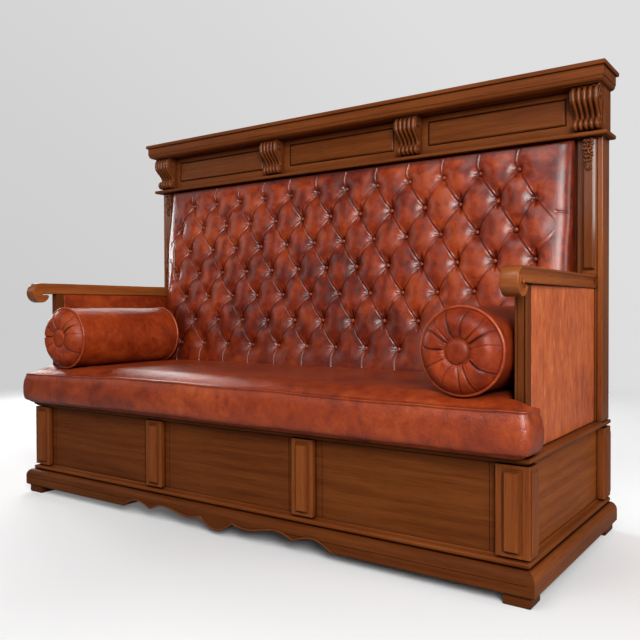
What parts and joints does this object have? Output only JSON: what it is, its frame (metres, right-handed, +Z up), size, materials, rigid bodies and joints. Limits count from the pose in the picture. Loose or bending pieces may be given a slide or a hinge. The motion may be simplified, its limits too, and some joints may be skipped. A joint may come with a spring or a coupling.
{
  "type": "sofa",
  "caption": "High-backed panelled wooden sofa with a deep-buttoned leather back, frieze and cornice, scrolled arms, a loose seat cushion and loose round bolsters.",
  "frame": {"origin": "on the floor, under the middle of the sofa's bounding box", "axes": "+X to the right as seen from the front, -Y towards the front edge of the seat, +Z up"},
  "size_m": [2.0412, 0.82, 1.471],
  "materials": {
    "walnut": "satin",
    "walnut_dark": "satin",
    "carcass_wood": "matte",
    "leather": "satin",
    "leather_trim": "satin",
    "foam": "matte",
    "screw_steel": "satin"
  },
  "bodies": {
    "frame": {"plinth_front": "walnut", "plinth_left": "walnut", "plinth_right": "walnut", "base_bead_front": "walnut", "base_bead_left": "walnut", "base_bead_right": "walnut", "front_panel": "walnut", "side_panel_left": "walnut", "side_panel_right": "walnut", "corner_pilaster_left": "walnut", "corner_pilaster_right": "walnut", "mid_pilasters": "walnut", "rear_pilasters": "walnut", "top_moulding_front": "walnut", "top_moulding_left": "walnut", "top_moulding_right": "walnut", "arm_post_left": "walnut", "arm_post_right": "walnut", "arm_rail_left": "walnut", "arm_rail_right": "walnut", "back_post_left": "walnut", "back_post_right": "walnut", "post_strips": "walnut", "necking_moulding": "walnut", "frieze_box": "walnut", "frieze_panels": "walnut", "cornice_ogee": "walnut", "cornice_cap": "walnut", "foot_front_left": "walnut_dark", "foot_front_right": "walnut_dark", "foot_rear_left": "walnut_dark", "foot_rear_right": "walnut_dark", "plinth_back": "walnut_dark", "base_back_panel": "walnut_dark", "rear_panel": "walnut_dark", "carved_drops": "walnut_dark", "corbels": "walnut_dark", "deck_bearers": "carcass_wood", "seat_deck": "carcass_wood", "back_board": "carcass_wood", "arm_board_left": "carcass_wood", "arm_board_right": "carcass_wood", "back_leather": "leather", "arm_inner_leather_left": "leather", "arm_inner_leather_right": "leather", "arm_outer_leather_left": "leather", "arm_outer_leather_right": "leather", "tuft_buttons": "leather_trim", "back_foam": "foam", "deck_screws": "screw_steel"},
    "seat_cushion": {"seat_cushion_cover": "leather", "seat_cushion_foam": "foam"},
    "bolster_left": {"bolster_left_cover": "leather", "bolster_left_core": "foam", "bolster_left_piping": "leather_trim", "bolster_left_buttons": "leather_trim"},
    "bolster_right": {"bolster_right_cover": "leather", "bolster_right_core": "foam", "bolster_right_piping": "leather_trim", "bolster_right_buttons": "leather_trim"}
  },
  "joints": [
    {"name": "cushion_lift", "type": "slide", "parent": "frame", "child": "seat_cushion", "axis": [0, 0, 1], "range_m": [0, 0.25]},
    {"name": "bolster_left_lift", "type": "slide", "parent": "seat_cushion", "child": "bolster_left", "axis": [0, 0, 1], "range_m": [0, 0.35]},
    {"name": "bolster_right_lift", "type": "slide", "parent": "seat_cushion", "child": "bolster_right", "axis": [0, 0, 1], "range_m": [0, 0.35]}
  ]
}
